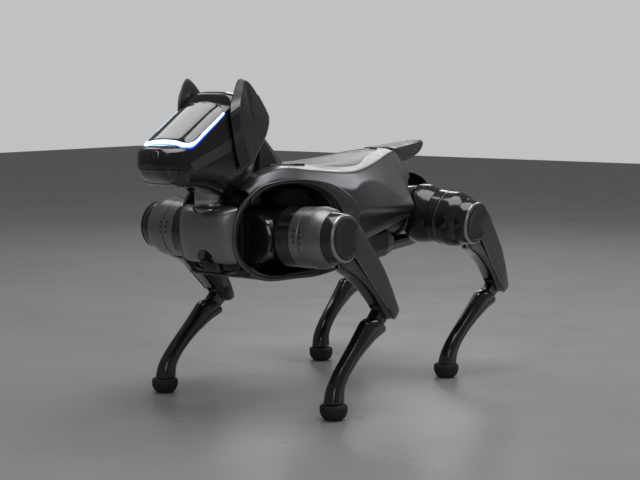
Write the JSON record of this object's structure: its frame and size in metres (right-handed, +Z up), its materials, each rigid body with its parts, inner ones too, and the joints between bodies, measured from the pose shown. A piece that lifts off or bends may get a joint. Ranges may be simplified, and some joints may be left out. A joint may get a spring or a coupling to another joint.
{
  "type": "quadruped robot dog",
  "caption": "Four-legged walking robot with a dog-like head, glowing visor edge, upright ears, faceted back shell, tail fin and jointed legs on rubber feet.",
  "frame": {"origin": "floor point below the middle of the standing robot's box", "axes": "+X towards the head, +Y to the robot's left, +Z up"},
  "size_m": [0.7096, 0.3652, 0.476],
  "materials": {
    "gunmetal_paint": "satin metallic",
    "chest_paint": "satin metallic",
    "black_gloss": "gloss",
    "black_satin": "satin",
    "dark_cover": "satin",
    "neck_metal": "brushed",
    "visor_glass": "polished",
    "light_guide": "glowing",
    "lens_glass": "polished",
    "rubber": "matte",
    "frame_alloy": "machined",
    "motor_metal": "anodised",
    "battery_case": "moulded",
    "board_green": "lacquered"
  },
  "bodies": {
    "torso": {"chassis": "frame_alloy", "back_shell": "gunmetal_paint", "back_inlay": "black_satin", "chest_shell": "chest_paint", "chest_sensor": "lens_glass", "arch_liner_left": "black_gloss", "arch_liner_right": "black_gloss", "belly_pan": "black_satin", "rear_cap": "black_gloss", "tail_fin": "black_satin", "battery_pack": "battery_case", "control_board": "board_green", "head_shell": "black_gloss", "face_visor": "visor_glass", "light_strip": "light_guide", "nose_module": "black_gloss", "camera_lens": "lens_glass", "depth_window": "visor_glass", "ear_left": "dark_cover", "ear_right": "dark_cover", "neck_tube": "neck_metal", "neck_shroud": "black_satin", "neck_strap": "neck_metal", "abad_motor_fl": "motor_metal", "abad_motor_fr": "motor_metal", "abad_motor_rl": "motor_metal", "abad_motor_rr": "motor_metal"},
    "power_button": {"power_button": "neck_metal"},
    "hip_fl": {"hip_housing_fl": "black_gloss"},
    "thigh_fl": {"thigh_shell_fl": "black_gloss", "knee_drive_fl": "chest_paint", "thigh_cover_fl": "dark_cover", "hip_disc_fl": "black_satin"},
    "shank_fl": {"shank_fl": "black_gloss", "shank_guard_fl": "dark_cover", "foot_fl": "rubber"},
    "hip_fr": {"hip_housing_fr": "black_gloss"},
    "thigh_fr": {"thigh_shell_fr": "black_gloss", "knee_drive_fr": "chest_paint", "thigh_cover_fr": "dark_cover", "hip_disc_fr": "black_satin"},
    "shank_fr": {"shank_fr": "black_gloss", "shank_guard_fr": "dark_cover", "foot_fr": "rubber"},
    "hip_rl": {"hip_housing_rl": "black_gloss"},
    "thigh_rl": {"thigh_shell_rl": "black_gloss", "knee_drive_rl": "chest_paint", "thigh_cover_rl": "dark_cover", "hip_disc_rl": "black_satin"},
    "shank_rl": {"shank_rl": "black_gloss", "shank_guard_rl": "dark_cover", "foot_rl": "rubber"},
    "hip_rr": {"hip_housing_rr": "black_gloss"},
    "thigh_rr": {"thigh_shell_rr": "black_gloss", "knee_drive_rr": "chest_paint", "thigh_cover_rr": "dark_cover", "hip_disc_rr": "black_satin"},
    "shank_rr": {"shank_rr": "black_gloss", "shank_guard_rr": "dark_cover", "foot_rr": "rubber"}
  },
  "joints": [
    {"name": "abad_fl", "type": "hinge", "parent": "torso", "child": "hip_fl", "pos_m": [0.1464, 0.042, 0.25144], "axis": [1, 0, 0], "range_deg": [-13, 28]},
    {"name": "hip_fl", "type": "hinge", "parent": "hip_fl", "child": "thigh_fl", "pos_m": [0.1464, 0.15053, 0.25523], "axis": [0, 0.9994, 0.0349], "range_deg": [-60, 45]},
    {"name": "knee_fl", "type": "hinge", "parent": "thigh_fl", "child": "shank_fl", "pos_m": [0.0245, 0.15445, 0.14321], "axis": [0, 0.9994, 0.0349], "range_deg": [-33, 55]},
    {"name": "abad_fr", "type": "hinge", "parent": "torso", "child": "hip_fr", "pos_m": [0.1464, -0.042, 0.25144], "axis": [-1, 0, 0], "range_deg": [-13, 28]},
    {"name": "hip_fr", "type": "hinge", "parent": "hip_fr", "child": "thigh_fr", "pos_m": [0.1464, -0.15053, 0.25523], "axis": [0, 0.9994, -0.0349], "range_deg": [-60, 45]},
    {"name": "knee_fr", "type": "hinge", "parent": "thigh_fr", "child": "shank_fr", "pos_m": [0.0245, -0.15445, 0.14321], "axis": [0, 0.9994, -0.0349], "range_deg": [-33, 55]},
    {"name": "abad_rl", "type": "hinge", "parent": "torso", "child": "hip_rl", "pos_m": [-0.2068, 0.042, 0.26434], "axis": [1, 0, 0], "range_deg": [-14, 20]},
    {"name": "hip_rl", "type": "hinge", "parent": "hip_rl", "child": "thigh_rl", "pos_m": [-0.2068, 0.15001, 0.25299], "axis": [0, 0.9945, -0.1045], "range_deg": [-45, 45]},
    {"name": "knee_rl", "type": "hinge", "parent": "thigh_rl", "child": "shank_rl", "pos_m": [-0.32986, 0.13842, 0.14279], "axis": [0, 0.9945, -0.1045], "range_deg": [-33, 55]},
    {"name": "abad_rr", "type": "hinge", "parent": "torso", "child": "hip_rr", "pos_m": [-0.2068, -0.042, 0.26434], "axis": [-1, 0, 0], "range_deg": [-14, 20]},
    {"name": "hip_rr", "type": "hinge", "parent": "hip_rr", "child": "thigh_rr", "pos_m": [-0.2068, -0.15001, 0.25299], "axis": [0, 0.9945, 0.1045], "range_deg": [-45, 45]},
    {"name": "knee_rr", "type": "hinge", "parent": "thigh_rr", "child": "shank_rr", "pos_m": [-0.32986, -0.13842, 0.14279], "axis": [0, 0.9945, 0.1045], "range_deg": [-33, 55]},
    {"name": "power_button_slide", "type": "slide", "parent": "torso", "child": "power_button", "axis": [0, 0, 1], "range_m": [-0.002, 0], "stiffness_N_per_m": 400}
  ]
}
